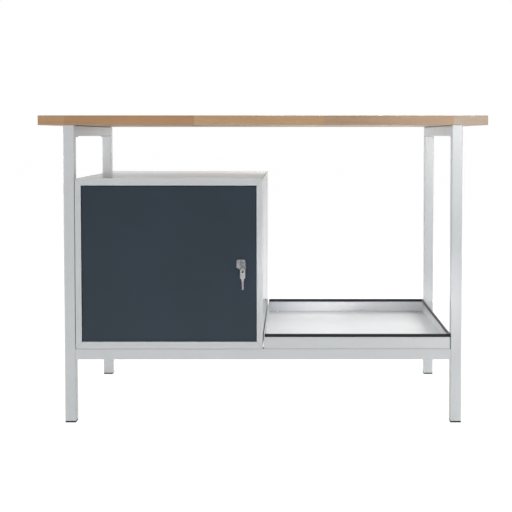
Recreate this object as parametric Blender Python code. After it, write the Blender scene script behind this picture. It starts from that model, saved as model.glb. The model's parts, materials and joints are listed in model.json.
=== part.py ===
"""A workbench: a beech top on a welded frame of square tube, with a lockable cabinet and an open tray.

Metres, +Z up. The bench faces -Y, and its left end is at -X. The origin is on the floor, below the middle
of the whole object, the key in the lock included.
"""

import math

import bmesh
import bpy
from mathutils import Matrix, Vector

# Clearances
GAP = 0.0003            # between pieces that touch, are welded or are screwed together
OVERRUN = 0.001         # how far a cutter reaches past what it cuts
HOLE_EASE = 0.0003      # a screw's hole is larger than the screw by this, all round
RUN_EASE = 0.0002       # a pin's or a plug's bore is larger by this, all round
SEGMENTS = 24           # sides of a round piece
SMALL_SEGMENTS = 12     # sides of a screw's shank
CORNER_STEPS = 3        # edges in a rounded corner
SMOOTH_ANGLE = math.radians(35)

# The whole bench
TOP_WIDTH = 1.25
BENCH_DEPTH = 0.6
BENCH_HEIGHT = 0.86
TOP_THICKNESS = 0.027
TOP_ROUNDING = 0.002
TOP_OVERHANG = 0.07     # of the top past the frame, at each end

# Square tube of the frame
TUBE = 0.03
TUBE_WALL = 0.0015
TUBE_CORNER = 0.0025
LOWER_RAIL_TOP = 0.208
FOOT_HEIGHT = 0.004
FOOT_INSERT = 0.018

# Screws: head and shank radius, head height, socket across flats and depth
SCREW_HEAD_RADIUS = 0.004
SCREW_HEAD_HEIGHT = 0.0026
SCREW_SHANK_RADIUS = 0.002
SOCKET_RADIUS = 0.0015
SOCKET_DEPTH = 0.0013
SCREW_RIM_SHARE = 0.25      # of the head's height, below its dome
SHEET_SCREW_LENGTH = 0.012
WOOD_BITE = 0.018       # of a worktop screw in the top
WORKTOP_SCREW_INSET = 0.11
RAIL_SCREW_BACK = 0.0055    # of a cabinet screw from the inner face of the rail below it
SHEET_SCREW_INSET = 0.03    # of a sheet screw from the side of the cabinet or tray

# Cabinet of folded sheet
SHEET = 0.001
CABINET_WIDTH = 0.522
CABINET_HEIGHT = 0.4765
CABINET_REAR_SETBACK = 0.002    # of the cabinet's back from the rear of the bench
CABINET_LEG_GAP = 0.0018
SIDE_FLANGE = 0.0165
CAP_FLANGE = 0.0195     # of the top and bottom panels
STRIKE_LIP = 0.02       # depth of the folded lip that the lock's cam goes behind
REAR_FLANGE = 0.012
MITRE_GAP = 0.0004
SKIN_END_GAP = 0.0016   # of a side's skin from the cabinet's top and bottom
SHELF_HEIGHT = 0.235
SHELF_FOLD = 0.02
SHELF_SETBACK = 0.032
SHELF_EASE = 0.0015
BRACKET = 0.014
BRACKET_THICKNESS = 0.0015
BRACKET_INSET = 0.07
PLUG_RADIUS = 0.003
PLUG_HEAD = 0.0008
PLUG_DEPTH = 0.251
PLUG_HEIGHT = 0.097
PLUG_STEM_SHARE = 0.7

# Door
DOOR_GAP = 0.0018
DOOR_SETBACK = 0.001
DOOR_THICKNESS = 0.018
DOOR_RETURN = 0.012
DOOR_EDGE_RADIUS = 0.0008
PIVOT_INSET = 0.012
PIVOT_DEPTH = 0.006
PIN_RADIUS = 0.0025
PIN_HEAD_RADIUS = 0.0045
PIN_HEAD_HEIGHT = 0.0015
PIN_ENGAGEMENT = 0.011
BUSH_RADIUS = 0.004
BUSH_FLANGE_RADIUS = 0.006
BUSH_LENGTH = 0.01
STIFFENER_WIDTH = 0.05
STIFFENER_DEPTH = 0.0145
STIFFENER_FOOT = 0.012
STIFFENER_END_GAP = 0.02
BUMPER_RADIUS = 0.005
BUMPER_THICKNESS = 0.0015
STOP_WIDTH = 0.024
STOP_HEIGHT = 0.014
STOP_INSET = 0.045

# Cam lock
LOCK_INSET = 0.0417     # of the lock from the free edge of the door
ROSETTE = 0.025
ROSETTE_THICKNESS = 0.003
ROSETTE_CORNER = 0.005
ROSETTE_EDGE_RADIUS = 0.00075
BARREL_RADIUS = 0.0095
PLUG_FACE_RADIUS = 0.006
PLUG_PROUD = 0.001
NUT_FLATS_RADIUS = 0.0125
NUT_THICKNESS = 0.004
CAM_CLEARANCE = 0.0015
CAM_THICKNESS = 0.0025
CAM_WIDTH = 0.014
CAM_GRIP = 0.007
CAM_CORNER_SHARE = 0.8      # of half the cam's width
BOSS = 0.007
BOSS_PROUD = 0.0003
CAM_SCREW_RADIUS = 0.0015
CAM_SCREW_REACH = 0.0038
CAM_SCREW_HEAD_RADIUS = 0.005
CAM_SCREW_HEAD_HEIGHT = 0.0015
BARREL_BACK_GAP = 0.001

# Keys
KEY_THICKNESS = 0.0016
KEY_BOW_LENGTH = 0.028
KEY_BOW_WIDTH = 0.017
KEY_BOW_CORNER = 0.006
KEY_SHOULDER_CORNER = 0.0015
KEY_HOLE_RADIUS = 0.00375
KEY_HOLE_INSET = 0.0086
KEY_NECK_LENGTH = 0.0095
KEY_NECK_WIDTH = 0.0097
KEY_BLADE_LENGTH = 0.022
KEY_BLADE_WIDTH = 0.0055
KEY_TIP = 0.0015
KEYWAY_EASE = 0.0003
# Cuts along a blade: the place of each as a share of its length, and its depth as a share of its width
KEY_CUT_SHARES = ((0.2, 0.22), (0.36, 0.34), (0.52, 0.16), (0.68, 0.3), (0.84, 0.2))
KEY_CUT_HALF_WIDTH_SHARE = 0.05
RING_RADIUS = 0.009
RING_WIRE_RADIUS = 0.0007
RING_LEAN = math.radians(40)        # of the ring's middle from straight below the lock
RING_SEGMENTS = 32
WIRE_SEGMENTS = 8
SPARE_HANG = 0.0015     # of the spare key's hole below the wire that it hangs on
SPARE_TURN = math.radians(39)      # between the spare key and the plane of the ring

# Tray of folded sheet
TRAY_GAP = 0.0032       # between the cabinet and the tray
TRAY_LEG_GAP = 0.0005     # between the trim on the tray and the right legs
TRAY_WALL_TOP = 0.2488
TRAY_FOLD_RADIUS = 0.0015
TRIM_TOP = 0.25
TRIM_HEIGHT = 0.009
TRIM_WIDTH = 0.004
TRIM_SLOT_EASE = 0.0003
TRIM_START = 0.002      # of the trim from the left wall of the tray

# Places that follow from the sizes
KEY_REACH = 2 * GAP + ROSETTE_THICKNESS + PLUG_PROUD + KEY_NECK_LENGTH + KEY_BOW_LENGTH - DOOR_SETBACK
FRONT = -(BENCH_DEPTH - KEY_REACH) / 2
BACK = FRONT + BENCH_DEPTH
TOP_UNDERSIDE = BENCH_HEIGHT - TOP_THICKNESS
FRAME_X = TOP_WIDTH / 2 - TOP_OVERHANG
INNER_X = FRAME_X - TUBE
LEG_X = FRAME_X - TUBE / 2
LEG_FRONT_Y = FRONT + TUBE / 2
LEG_BACK_Y = BACK - TUBE / 2

CABINET_LEFT = -INNER_X + CABINET_LEG_GAP
CABINET_RIGHT = CABINET_LEFT + CABINET_WIDTH
CABINET_BOTTOM = LOWER_RAIL_TOP + GAP
CABINET_TOP = CABINET_BOTTOM + CABINET_HEIGHT
CABINET_BACK = BACK - CABINET_REAR_SETBACK
OPENING_LEFT = CABINET_LEFT + SIDE_FLANGE
OPENING_RIGHT = CABINET_RIGHT - SIDE_FLANGE
OPENING_BOTTOM = CABINET_BOTTOM + CAP_FLANGE
OPENING_TOP = CABINET_TOP - CAP_FLANGE
SHELF_TOP = CABINET_BOTTOM + SHELF_HEIGHT

DOOR_LEFT = OPENING_LEFT + DOOR_GAP
DOOR_RIGHT = OPENING_RIGHT - DOOR_GAP
DOOR_BOTTOM = OPENING_BOTTOM + DOOR_GAP
DOOR_TOP = OPENING_TOP - DOOR_GAP
DOOR_FRONT = FRONT + DOOR_SETBACK
DOOR_BACK = DOOR_FRONT + DOOR_THICKNESS
HINGE = Vector((DOOR_LEFT + PIVOT_INSET, DOOR_FRONT + PIVOT_DEPTH, DOOR_BOTTOM))
STOP_FRONT = DOOR_BACK + GAP + BUMPER_THICKNESS + GAP
CAP_LIP_BACK = STOP_FRONT + SHEET

LOCK_X = DOOR_RIGHT - LOCK_INSET
LOCK_Z = (DOOR_BOTTOM + DOOR_TOP) / 2
ROSETTE_BACK = DOOR_FRONT - GAP
ROSETTE_FRONT = ROSETTE_BACK - ROSETTE_THICKNESS
PLUG_FRONT = ROSETTE_FRONT - PLUG_PROUD
CAM_FRONT = FRONT + STRIKE_LIP + CAM_CLEARANCE
CAM_BACK = CAM_FRONT + CAM_THICKNESS
BOSS_BACK = CAM_BACK + BOSS_PROUD
LOCK = Vector((LOCK_X, PLUG_FRONT, LOCK_Z))
KEY_SHOULDER = LOCK - Vector((0, GAP, 0))
KEY_HOLE = KEY_SHOULDER - Vector((0, KEY_NECK_LENGTH + KEY_BOW_LENGTH - KEY_HOLE_INSET, 0))
RING_CENTRE = KEY_HOLE + Vector((math.sin(RING_LEAN), 0, -math.cos(RING_LEAN))) * RING_RADIUS
RING_BOTTOM = RING_CENTRE - Vector((0, 0, RING_RADIUS))

TRAY_LEFT = CABINET_RIGHT + TRAY_GAP
TRIM_PROUD = (TRIM_WIDTH - SHEET) / 2
TRAY_RIGHT = INNER_X - TRAY_LEG_GAP - TRIM_PROUD
TRAY_FRONT = FRONT + TRIM_PROUD
TRAY_BACK = BACK - TRIM_PROUD
TRAY_BOTTOM = LOWER_RAIL_TOP + GAP


# Scene and materials

def clear_scene():
    for obj in list(bpy.data.objects):
        bpy.data.objects.remove(obj, do_unlink=True)


def material(name, colour, roughness, metallic=0.0):
    made = bpy.data.materials.new(name)
    made.use_nodes = True
    shader = made.node_tree.nodes["Principled BSDF"]
    shader.inputs["Base Color"].default_value = (*colour, 1.0)
    shader.inputs["Roughness"].default_value = roughness
    shader.inputs["Metallic"].default_value = metallic
    made.diffuse_color = (*colour, 1.0)
    return made


clear_scene()
BEECH = ("beech", (0.50, 0.33, 0.20), 0.55)
GREY_PAINT = ("grey_paint", (0.60, 0.62, 0.63), 0.45)
DOOR_PAINT = ("door_paint", (0.045, 0.058, 0.072), 0.5)
BLACK_PLASTIC = ("black_plastic", (0.02, 0.02, 0.022), 0.5)
GREY_PLASTIC = ("grey_plastic", (0.25, 0.25, 0.26), 0.5)
BLACK_RUBBER = ("black_rubber", (0.025, 0.025, 0.025), 0.8)
CHROME = ("chrome", (0.75, 0.76, 0.78), 0.15, 1.0)
ZINC = ("zinc", (0.62, 0.64, 0.66), 0.35, 1.0)
NICKEL = ("nickel", (0.70, 0.70, 0.69), 0.3, 1.0)


# Outlines, as lists of points in a plane

def rounded_rectangle(low, high, radius, steps=CORNER_STEPS):
    """A rectangle between two corners, with each corner turned in steps edges."""
    (x0, y0), (x1, y1) = low, high
    centres = ((x1 - radius, y1 - radius), (x0 + radius, y1 - radius),
               (x0 + radius, y0 + radius), (x1 - radius, y0 + radius))
    points = []
    for quarter, (cx, cy) in enumerate(centres):
        for step in range(steps + 1):
            angle = math.pi / 2 * (quarter + step / steps)
            points.append((cx + radius * math.cos(angle), cy + radius * math.sin(angle)))
    return points


def rectangle(low, high):
    (x0, y0), (x1, y1) = low, high
    return [(x1, y1), (x0, y1), (x0, y0), (x1, y0)]


def square(middle, size, radius):
    half = size / 2
    a, b = middle
    return rounded_rectangle((a - half, b - half), (a + half, b + half), radius)


def circle(middle, radius, count=SEGMENTS):
    turns = [2 * math.pi * k / count for k in range(count)]
    return [(middle[0] + radius * math.cos(a), middle[1] + radius * math.sin(a)) for a in turns]


def hexagon_radius(angle, flats_radius):
    """Distance from the middle of a hexagon to its side in one direction."""
    sixth = math.pi / 3
    return flats_radius / math.cos((angle + sixth / 2) % sixth - sixth / 2)


def hexagon(middle, flats_radius, count=SEGMENTS):
    points = []
    for k in range(count):
        angle = 2 * math.pi * k / count
        radius = hexagon_radius(angle, flats_radius)
        points.append((middle[0] + radius * math.cos(angle), middle[1] + radius * math.sin(angle)))
    return points


def band(path, left, right):
    """The outline of a strip beside a path of straight runs: left and right of it by these distances."""
    count = len(path)
    sides = ([], [])
    for k, point in enumerate(path):
        here = Vector(point)
        before = (here - Vector(path[k - 1])).normalized() if k else None
        after = (Vector(path[k + 1]) - here).normalized() if k < count - 1 else None
        normals = [Vector((-d.y, d.x)) for d in (before, after) if d is not None]
        mean = sum(normals, Vector((0, 0)))
        reach = mean / mean.dot(normals[0])
        sides[0].append(tuple(here + reach * left))
        sides[1].append(tuple(here - reach * right))
    return sides[0] + sides[1][::-1]


# Solids, from outlines and profiles

def on_axis(axis, along, point):
    """The point of space at a distance along an axis, with the outline's two numbers on the other axes."""
    a, b = point
    return {"X": (along, a, b), "Y": (a, along, b), "Z": (a, b, along)}[axis]


def prism_mesh(outline, axis, low, high, inner=None):
    """An outline pushed from low to high along an axis, with an inner outline as a bore if one is given."""
    mesh = bmesh.new()
    loops = []
    for points in (outline, inner):
        if points is None:
            continue
        for along in (low, high):
            loops.append([mesh.verts.new(on_axis(axis, along, p)) for p in points])
    for first, second in zip(loops[0::2], loops[1::2]):
        for k in range(len(first)):
            j = (k + 1) % len(first)
            mesh.faces.new((first[k], first[j], second[j], second[k]))
    if inner is None:
        mesh.faces.new(loops[0])
        mesh.faces.new(loops[1])
    else:
        for outer_loop, inner_loop in ((loops[0], loops[2]), (loops[1], loops[3])):
            for k in range(len(outer_loop)):
                j = (k + 1) % len(outer_loop)
                mesh.faces.new((outer_loop[k], outer_loop[j], inner_loop[j], inner_loop[k]))
    return mesh


def turned_mesh(profile, centre, axis, count=SEGMENTS, closed=False, sockets=()):
    """A profile of (radius, place along the axis) turned about an axis through centre.

    The profile starts and ends on the axis, or is closed. The points whose numbers are in sockets
    follow a hexagon of that radius across its flats.
    """
    mesh = bmesh.new()
    rings = []
    for number, (radius, along) in enumerate(profile):
        if radius == 0:
            rings.append([mesh.verts.new(Vector(centre) + Vector(on_axis(axis, along, (0, 0))))])
            continue
        ring = []
        for k in range(count):
            angle = 2 * math.pi * k / count
            reach = hexagon_radius(angle, radius) if number in sockets else radius
            offset = on_axis(axis, along, (reach * math.cos(angle), reach * math.sin(angle)))
            ring.append(mesh.verts.new(Vector(centre) + Vector(offset)))
        rings.append(ring)
    pairs = list(zip(rings, rings[1:]))
    if closed:
        pairs.append((rings[-1], rings[0]))
    for first, second in pairs:
        for k in range(count):
            j = (k + 1) % count
            corners = [first[k % len(first)], first[j % len(first)],
                       second[j % len(second)], second[k % len(second)]]
            unique = list(dict.fromkeys(corners))
            mesh.faces.new(unique)
    return mesh


PIVOTS = {}


def pivot(name, place, parent=None):
    """An empty on a joint's axis, which carries the pieces that turn there."""
    empty = bpy.data.objects.new(name, None)
    empty.empty_display_size = RING_RADIUS
    bpy.context.scene.collection.objects.link(empty)
    empty.parent = parent
    empty.location = place - (PIVOTS[parent.name] if parent else Vector())
    PIVOTS[name] = place
    return empty


def carried(obj, carrier):
    """Hangs a piece on a pivot, with its own origin on the pivot too."""
    obj.data.transform(Matrix.Translation(-PIVOTS[carrier.name]))
    obj.parent = carrier
    return obj


def solid(name, mesh, look, carrier=None, smooth=False):
    """Makes one named piece from a mesh."""
    bmesh.ops.recalc_face_normals(mesh, faces=mesh.faces)
    data = bpy.data.meshes.new(name)
    mesh.to_mesh(data)
    mesh.free()
    if look is not None:
        data.materials.append(bpy.data.materials.get(look[0]) or material(*look))
    if smooth:
        data.shade_smooth()
        data.set_sharp_from_angle(angle=SMOOTH_ANGLE)
    obj = bpy.data.objects.new(name, data)
    bpy.context.scene.collection.objects.link(obj)
    return carried(obj, carrier) if carrier else obj


def helper(name, mesh, carrier=None):
    """A shape that cuts a piece or is joined to it, and isn't a piece itself."""
    obj = solid(name, mesh, None, carrier)
    obj.hide_render = True
    obj.display_type = "WIRE"
    return obj


def combine(piece, operation, meshes, carrier=None):
    for number, mesh in enumerate(meshes):
        name = f"{piece.name}_{operation.lower()}_{number + 1}"
        step = piece.modifiers.new(name, "BOOLEAN")
        step.operation = operation
        step.solver = "EXACT"
        step.object = helper(name, mesh, carrier)
    return piece


def cut(piece, *meshes, carrier=None):
    return combine(piece, "DIFFERENCE", meshes, carrier)


def join(piece, *meshes, carrier=None):
    return combine(piece, "UNION", meshes, carrier)


def box_mesh(low, high):
    return prism_mesh(rectangle(low[:2], high[:2]), "Z", low[2], high[2])


def rod_mesh(centre, axis, radius, start, end, count=SEGMENTS):
    """A plain cylinder about an axis through centre, from start to end along it."""
    return turned_mesh(((0, start), (radius, start), (radius, end), (0, end)), centre, axis, count)


# Frame

def tube(name, axis, middle, low, high):
    """A square tube along an axis, round the middle of its section."""
    inside = TUBE - 2 * TUBE_WALL
    mesh = prism_mesh(square(middle, TUBE, TUBE_CORNER), axis, low, high,
                      square(middle, inside, TUBE_CORNER - TUBE_WALL))
    return solid(name, mesh, GREY_PAINT, smooth=True)


def corners():
    """The four corners of the frame: name, side and place of the leg."""
    for side, x in (("left", -LEG_X), ("right", LEG_X)):
        for end, y in (("front", LEG_FRONT_Y), ("rear", LEG_BACK_Y)):
            yield f"{end}_{side}", x, y


def foot(name, x, y):
    """A plastic end cap: a plate under the tube and a plug inside it."""
    inside = TUBE - 2 * TUBE_WALL - 2 * GAP
    plate = solid(name, prism_mesh(square((x, y), TUBE, TUBE_CORNER), "Z", 0, FOOT_HEIGHT), BLACK_PLASTIC)
    join(plate, prism_mesh(square((x, y), inside, TUBE_CORNER - TUBE_WALL), "Z",
                           FOOT_HEIGHT - OVERRUN, FOOT_HEIGHT + FOOT_INSERT))
    bore = inside - 2 * TUBE_WALL
    cut(plate, prism_mesh(square((x, y), bore, TUBE_CORNER - TUBE_WALL), "Z",
                          FOOT_HEIGHT, FOOT_HEIGHT + FOOT_INSERT + OVERRUN))


def build_frame():
    for name, x, y in corners():
        tube(f"leg_{name}", "Z", (x, y), FOOT_HEIGHT + GAP, TOP_UNDERSIDE - GAP)
        foot(f"foot_{name}", x, y)
    top_z = TOP_UNDERSIDE - GAP - TUBE / 2
    lower_z = LOWER_RAIL_TOP - TUBE / 2
    for side, x in (("left", -LEG_X), ("right", LEG_X)):
        for level, z in (("top", top_z), ("lower", lower_z)):
            tube(f"{level}_rail_{side}", "Y", (x, z), FRONT + TUBE + GAP, BACK - TUBE - GAP)
    for end, y in (("front", LEG_FRONT_Y), ("rear", LEG_BACK_Y)):
        tube(f"lower_rail_{end}", "X", (y, lower_z), -INNER_X + GAP, INNER_X - GAP)


# Screws

def screw(name, place, axis, way, length):
    """A button-head screw. Its head sits at place, and its shank runs from there along way times the axis."""
    rim = SCREW_HEAD_HEIGHT * SCREW_RIM_SHARE
    profile = (
        (0, length),
        (SCREW_SHANK_RADIUS / 2, length),
        (SCREW_SHANK_RADIUS, length - SCREW_SHANK_RADIUS),
        (SCREW_SHANK_RADIUS, 0),
        (SCREW_HEAD_RADIUS, 0),
        (SCREW_HEAD_RADIUS, -rim),
        (SCREW_HEAD_RADIUS * math.cos(math.pi / 6), -rim - (SCREW_HEAD_HEIGHT - rim) * math.sin(math.pi / 6)),
        (2 * SOCKET_RADIUS, -SCREW_HEAD_HEIGHT),
        (SOCKET_RADIUS, -SCREW_HEAD_HEIGHT),
        (SOCKET_RADIUS, SOCKET_DEPTH - SCREW_HEAD_HEIGHT),
        (0, SOCKET_DEPTH - SCREW_HEAD_HEIGHT),
    )
    sockets = [number for number, (radius, _) in enumerate(profile) if radius == SOCKET_RADIUS]
    mesh = turned_mesh([(r, way * z) for r, z in profile], place, axis, SMALL_SEGMENTS, sockets=sockets)
    return solid(name, mesh, ZINC, smooth=True)


def screw_hole(x, y, low, high):
    return rod_mesh((x, y, 0), "Z", SCREW_SHANK_RADIUS + HOLE_EASE, low, high, SMALL_SEGMENTS)


def sheet_screws(prefix, left, right, floor, panel):
    """Four screws through the floor of a sheet part into the front and rear rails."""
    back_from_face = TUBE - RAIL_SCREW_BACK
    top = floor + SHEET + GAP
    wall_low = LOWER_RAIL_TOP - TUBE_WALL - OVERRUN
    for side, x in (("left", left + SHEET_SCREW_INSET), ("right", right - SHEET_SCREW_INSET)):
        for end, y in (("front", FRONT + back_from_face), ("rear", BACK - back_from_face)):
            screw(f"{prefix}_screw_{end}_{side}", (x, y, top), "Z", -1, SHEET_SCREW_LENGTH)
            cut(panel, screw_hole(x, y, floor - OVERRUN, top + OVERRUN))
            rail = bpy.data.objects[f"lower_rail_{end}"]
            cut(rail, screw_hole(x, y, wall_low, LOWER_RAIL_TOP + OVERRUN))


# Worktop

def build_worktop():
    half = TOP_WIDTH / 2
    mesh = box_mesh((-half, FRONT, TOP_UNDERSIDE), (half, BACK, BENCH_HEIGHT))
    top = solid("worktop", mesh, BEECH)
    for side, x in (("left", -LEG_X), ("right", LEG_X)):
        rail = bpy.data.objects[f"top_rail_{side}"]
        for end, y in (("front", FRONT + WORKTOP_SCREW_INSET), ("rear", BACK - WORKTOP_SCREW_INSET)):
            under = TOP_UNDERSIDE - GAP - TUBE - GAP
            length = TUBE + 2 * GAP + WOOD_BITE
            screw(f"worktop_screw_{end}_{side}", (x, y, under), "Z", 1, length)
            cut(rail, screw_hole(x, y, under - OVERRUN, TOP_UNDERSIDE + OVERRUN))
            cut(top, screw_hole(x, y, TOP_UNDERSIDE - OVERRUN, under + length + HOLE_EASE))
    rounding = top.modifiers.new("rounding", "BEVEL")
    rounding.width = TOP_ROUNDING
    rounding.segments = CORNER_STEPS
    rounding.limit_method = "WEIGHT"
    weights = top.data.attributes.new("bevel_weight_edge", "FLOAT", "EDGE")
    for number in range(len(top.data.edges)):
        weights.data[number].value = 1.0
    top.modifiers.move(len(top.modifiers) - 1, 0)


# Cabinet

def flange_outline(kind):
    """The front flange of one panel of the cabinet, mitred to its neighbours."""
    outer = {"left": CABINET_LEFT, "right": CABINET_RIGHT, "bottom": CABINET_BOTTOM, "top": CABINET_TOP}
    inner = {"left": OPENING_LEFT, "right": OPENING_RIGHT, "bottom": OPENING_BOTTOM, "top": OPENING_TOP}
    if kind in ("left", "right"):
        return [(outer[kind], CABINET_BOTTOM), (outer[kind], CABINET_TOP),
                (inner[kind], OPENING_TOP), (inner[kind], OPENING_BOTTOM)]
    return [(CABINET_LEFT + MITRE_GAP, outer[kind]), (CABINET_RIGHT - MITRE_GAP, outer[kind]),
            (OPENING_RIGHT - MITRE_GAP, inner[kind]), (OPENING_LEFT + MITRE_GAP, inner[kind])]


def cabinet_side(side):
    """A side of the cabinet: skin, rear flange, mitred front flange and, beside the lock, a strike lip."""
    skin_x, inward = (CABINET_LEFT, 1) if side == "left" else (CABINET_RIGHT, -1)
    skin = sorted((skin_x, skin_x + inward * SHEET))
    flange = sorted((skin_x, skin_x + inward * REAR_FLANGE))
    low, high = CABINET_BOTTOM + SKIN_END_GAP, CABINET_TOP - SKIN_END_GAP
    wall = box_mesh((skin[0], FRONT + SHEET / 2, low), (skin[1], CABINET_BACK, high))
    piece = solid(f"cabinet_{side}_side", wall, GREY_PAINT)
    join(piece, prism_mesh(flange_outline(side), "Y", FRONT, FRONT + SHEET))
    join(piece, box_mesh((flange[0], CABINET_BACK - SHEET, low), (flange[1], CABINET_BACK, high)))
    if side == "right":
        join(piece, box_mesh((OPENING_RIGHT, FRONT, OPENING_BOTTOM + GAP),
                             (OPENING_RIGHT + SHEET, FRONT + STRIKE_LIP, OPENING_TOP - GAP)))
    return piece


def cabinet_cap(level):
    """The top or bottom panel: skin, mitred flange and a lip with the hinge's hole and the door's stop."""
    up = 1 if level == "top" else -1
    skin_z, lip_z = (CABINET_TOP, OPENING_TOP) if level == "top" else (CABINET_BOTTOM, OPENING_BOTTOM)
    skin = sorted((skin_z, skin_z - up * SHEET))
    lip = sorted((lip_z, lip_z + up * SHEET))
    side_gap = SHEET + GAP
    piece = solid(f"cabinet_{level}_panel", box_mesh(
        (CABINET_LEFT + side_gap, FRONT, skin[0]),
        (CABINET_RIGHT - side_gap, CABINET_BACK - SHEET - GAP, skin[1])), GREY_PAINT)
    join(piece, prism_mesh(flange_outline(level), "Y", FRONT, FRONT + SHEET))
    join(piece, box_mesh((OPENING_LEFT + MITRE_GAP, FRONT, lip[0]),
                         (OPENING_RIGHT - MITRE_GAP, CAP_LIP_BACK, lip[1])))
    stop = sorted((lip_z + up * SHEET, lip_z - up * STOP_HEIGHT))
    stop_x = DOOR_RIGHT - STOP_INSET
    join(piece, box_mesh((stop_x - STOP_WIDTH / 2, STOP_FRONT, stop[0]),
                         (stop_x + STOP_WIDTH / 2, CAP_LIP_BACK, stop[1])))
    cut(piece, rod_mesh(HINGE.xy.to_3d(), "Z", PIN_RADIUS + HOLE_EASE, lip[0] - OVERRUN, lip[1] + OVERRUN))
    middle_z = lip_z - up * (DOOR_GAP + STOP_HEIGHT) / 2
    bumper = rod_mesh((stop_x, 0, middle_z), "Y", BUMPER_RADIUS, DOOR_BACK + GAP, STOP_FRONT - GAP)
    solid(f"door_bumper_{level}", bumper, BLACK_RUBBER, smooth=True)
    return piece


def build_shelf():
    left, right = CABINET_LEFT + SHEET + SHELF_EASE, CABINET_RIGHT - SHEET - SHELF_EASE
    front, back = FRONT + SHELF_SETBACK, CABINET_BACK - 2 * SHEET - GAP - SHELF_EASE
    low = SHELF_TOP - SHELF_FOLD
    section = band([(front, low), (front, SHELF_TOP), (back, SHELF_TOP), (back, low)], 0, SHEET)
    solid("cabinet_shelf", prism_mesh(section, "X", left, right), GREY_PAINT)
    under = SHELF_TOP - SHEET - GAP
    for side, wall, inward in (("left", CABINET_LEFT, 1), ("right", CABINET_RIGHT, -1)):
        plate_x = wall + inward * (SHEET + GAP)
        for end, y in (("front", front + BRACKET_INSET), ("rear", back - BRACKET_INSET)):
            path = [(plate_x, under - BRACKET), (plate_x, under), (plate_x + inward * BRACKET, under)]
            outline = band(path, 0, inward * BRACKET_THICKNESS)
            mesh = prism_mesh(outline, "Y", y - BRACKET / 2, y + BRACKET / 2)
            solid(f"shelf_bracket_{end}_{side}", mesh, GREY_PAINT)


def build_cabinet():
    sides = {side: cabinet_side(side) for side in ("left", "right")}
    cabinet_cap("top")
    bottom = cabinet_cap("bottom")
    gap = SHEET + GAP
    back = box_mesh((CABINET_LEFT + gap, CABINET_BACK - gap - SHEET, CABINET_BOTTOM + gap),
                    (CABINET_RIGHT - gap, CABINET_BACK - gap, CABINET_TOP - gap))
    solid("cabinet_back_panel", back, GREY_PAINT)
    build_shelf()
    sheet_screws("cabinet", CABINET_LEFT, CABINET_RIGHT, CABINET_BOTTOM, bottom)
    plug = Vector((0, FRONT + PLUG_DEPTH, CABINET_BOTTOM + PLUG_HEIGHT))
    stem = PLUG_RADIUS * PLUG_STEM_SHARE
    outside = CABINET_RIGHT + GAP
    profile = ((0, CABINET_RIGHT - 2 * SHEET), (stem, CABINET_RIGHT - 2 * SHEET), (stem, outside),
               (PLUG_RADIUS, outside), (PLUG_RADIUS, outside + PLUG_HEAD / 2), (stem, outside + PLUG_HEAD),
               (0, outside + PLUG_HEAD))
    solid("side_hole_plug", turned_mesh(profile, plug, "X"), GREY_PLASTIC, smooth=True)
    hole = rod_mesh(plug, "X", stem + GAP, CABINET_RIGHT - SHEET - OVERRUN, CABINET_RIGHT + OVERRUN)
    cut(sides["right"], hole)


# Hinges

def build_hinge(level, door):
    """A pin through the lip of the cabinet, and the bush that it runs in, in the edge of the door."""
    up = 1 if level == "top" else -1
    lip, edge = (OPENING_TOP, DOOR_TOP) if level == "top" else (OPENING_BOTTOM, DOOR_BOTTOM)
    seat = lip + up * (SHEET + GAP)
    tip = edge - up * PIN_ENGAGEMENT
    place = HINGE.xy.to_3d()
    head = seat + up * PIN_HEAD_HEIGHT
    pin = ((0, head), (PIN_HEAD_RADIUS, head), (PIN_HEAD_RADIUS, seat), (PIN_RADIUS, seat),
           (PIN_RADIUS, tip + up * PIN_RADIUS / 2), (PIN_RADIUS / 2, tip), (0, tip))
    solid(f"hinge_pin_{level}", turned_mesh(pin, place, "Z"), ZINC, smooth=True)
    bore = PIN_RADIUS + RUN_EASE
    outer = (edge + up * GAP, edge + up * (DOOR_GAP - GAP))
    end = edge - up * BUSH_LENGTH
    bush = ((bore, outer[1]), (BUSH_FLANGE_RADIUS, outer[1]), (BUSH_FLANGE_RADIUS, outer[0]),
            (BUSH_RADIUS, outer[0]), (BUSH_RADIUS, end), (bore, end))
    solid(f"hinge_bush_{level}", turned_mesh(bush, place, "Z", closed=True), BLACK_PLASTIC, door, smooth=True)
    hole = sorted((edge + up * OVERRUN, edge - up * (SHEET + OVERRUN)))
    return rod_mesh(place, "Z", BUSH_RADIUS + GAP, *hole)


# Door

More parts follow.
